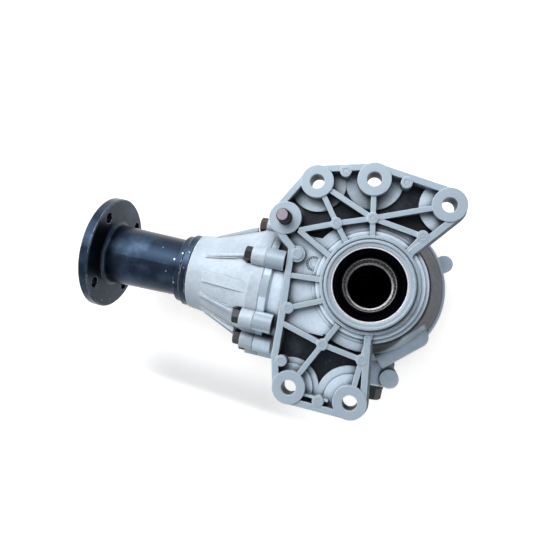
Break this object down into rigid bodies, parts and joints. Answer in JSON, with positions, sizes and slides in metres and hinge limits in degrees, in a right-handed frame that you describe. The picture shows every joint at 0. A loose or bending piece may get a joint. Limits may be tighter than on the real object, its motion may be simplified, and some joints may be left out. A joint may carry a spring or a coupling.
{
  "type": "transfer case",
  "caption": "Right-angle transfer case: ribbed aluminium case, hollow splined input shaft, hypoid ring gear and pinion, and a black companion flange on a long tube.",
  "frame": {"origin": "centre of the input bore on the mounting face", "axes": "+Z along the input shaft, out of the mounting face; -X towards the companion flange, parallel to the pinion; +Y up across the mounting face"},
  "size_m": [0.3475, 0.2236, 0.163],
  "materials": {
    "case_casting": "satin as-cast aluminium",
    "cover_casting": "duller as-cast aluminium",
    "housing_casting": "smooth as-cast aluminium",
    "flange_paint": "satin black paint with small chips",
    "black_bolt": "black oxide",
    "black_plug": "black oxide",
    "zinc_steel": "zinc plated",
    "captive_bolt_steel": "dull phosphate",
    "ground_steel": "ground",
    "bearing_steel": "ground and polished",
    "cage_steel": "pressed sheet",
    "shaft_steel": "machined",
    "gear_steel": "case hardened, dark",
    "washer_aluminium": "soft aluminium",
    "seal_rubber": "matte black"
  },
  "bodies": {
    "case": {"main_case": "case_casting", "rear_cover": "cover_casting", "rear_cover_bolts": "zinc_steel", "case_dowels": "ground_steel", "pinion_housing": "housing_casting", "pinion_housing_bolts": "black_bolt", "housing_o_ring": "seal_rubber", "input_seal": "seal_rubber", "rear_seal": "seal_rubber", "pinion_seal": "seal_rubber", "drain_plug": "black_plug", "drain_washer": "washer_aluminium", "filler_plug": "black_plug", "filler_washer": "washer_aluminium", "breather": "zinc_steel", "captive_bolt": "captive_bolt_steel", "front_bearing_cup": "bearing_steel", "rear_bearing_cup": "bearing_steel", "head_bearing_cup": "bearing_steel", "tail_bearing_cup": "bearing_steel", "front_bearing_shim": "ground_steel", "rear_bearing_shim": "ground_steel"},
    "input_line": {"input_shaft": "shaft_steel", "ring_gear": "gear_steel", "ring_gear_bolts": "black_bolt", "front_bearing_cone": "bearing_steel", "rear_bearing_cone": "bearing_steel"},
    "pinion_line": {"pinion_shaft": "shaft_steel", "pinion_gear": "gear_steel", "pinion_depth_shim": "ground_steel", "preload_spacer": "zinc_steel", "head_bearing_cone": "bearing_steel", "tail_bearing_cone": "bearing_steel", "companion_flange": "flange_paint", "flange_washer": "zinc_steel", "flange_nut": "zinc_steel", "dust_shield": "flange_paint"},
    "front_roller_set": {"front_bearing_rollers": "bearing_steel", "front_bearing_cage": "cage_steel"},
    "rear_roller_set": {"rear_bearing_rollers": "bearing_steel", "rear_bearing_cage": "cage_steel"},
    "head_roller_set": {"head_bearing_rollers": "bearing_steel", "head_bearing_cage": "cage_steel"},
    "tail_roller_set": {"tail_bearing_rollers": "bearing_steel", "tail_bearing_cage": "cage_steel"}
  },
  "joints": [
    {"name": "input_spin", "type": "hinge", "parent": "case", "child": "input_line", "pos_m": [0, 0, -0.06], "axis": [0, 0, 1], "continuous": true},
    {"name": "pinion_spin", "type": "hinge", "parent": "case", "child": "pinion_line", "pos_m": [-0.15, -0.02, -0.06], "axis": [1, 0, 0], "continuous": true},
    {"name": "front_rollers_spin", "type": "hinge", "parent": "case", "child": "front_roller_set", "pos_m": [0, 0, -0.021], "axis": [0, 0, 1], "continuous": true},
    {"name": "rear_rollers_spin", "type": "hinge", "parent": "case", "child": "rear_roller_set", "pos_m": [0, 0, -0.126], "axis": [0, 0, 1], "continuous": true},
    {"name": "head_rollers_spin", "type": "hinge", "parent": "case", "child": "head_roller_set", "pos_m": [-0.0765, -0.02, -0.06], "axis": [1, 0, 0], "continuous": true},
    {"name": "tail_rollers_spin", "type": "hinge", "parent": "case", "child": "tail_roller_set", "pos_m": [-0.1455, -0.02, -0.06], "axis": [1, 0, 0], "continuous": true}
  ],
  "couplings": [
    {"joint": "pinion_spin", "follows": "input_spin", "ratio": -2.5294},
    {"joint": "front_rollers_spin", "follows": "input_spin", "ratio": 0.4538},
    {"joint": "rear_rollers_spin", "follows": "input_spin", "ratio": 0.4538},
    {"joint": "head_rollers_spin", "follows": "input_spin", "ratio": -1.0897},
    {"joint": "tail_rollers_spin", "follows": "input_spin", "ratio": -1.0887}
  ]
}
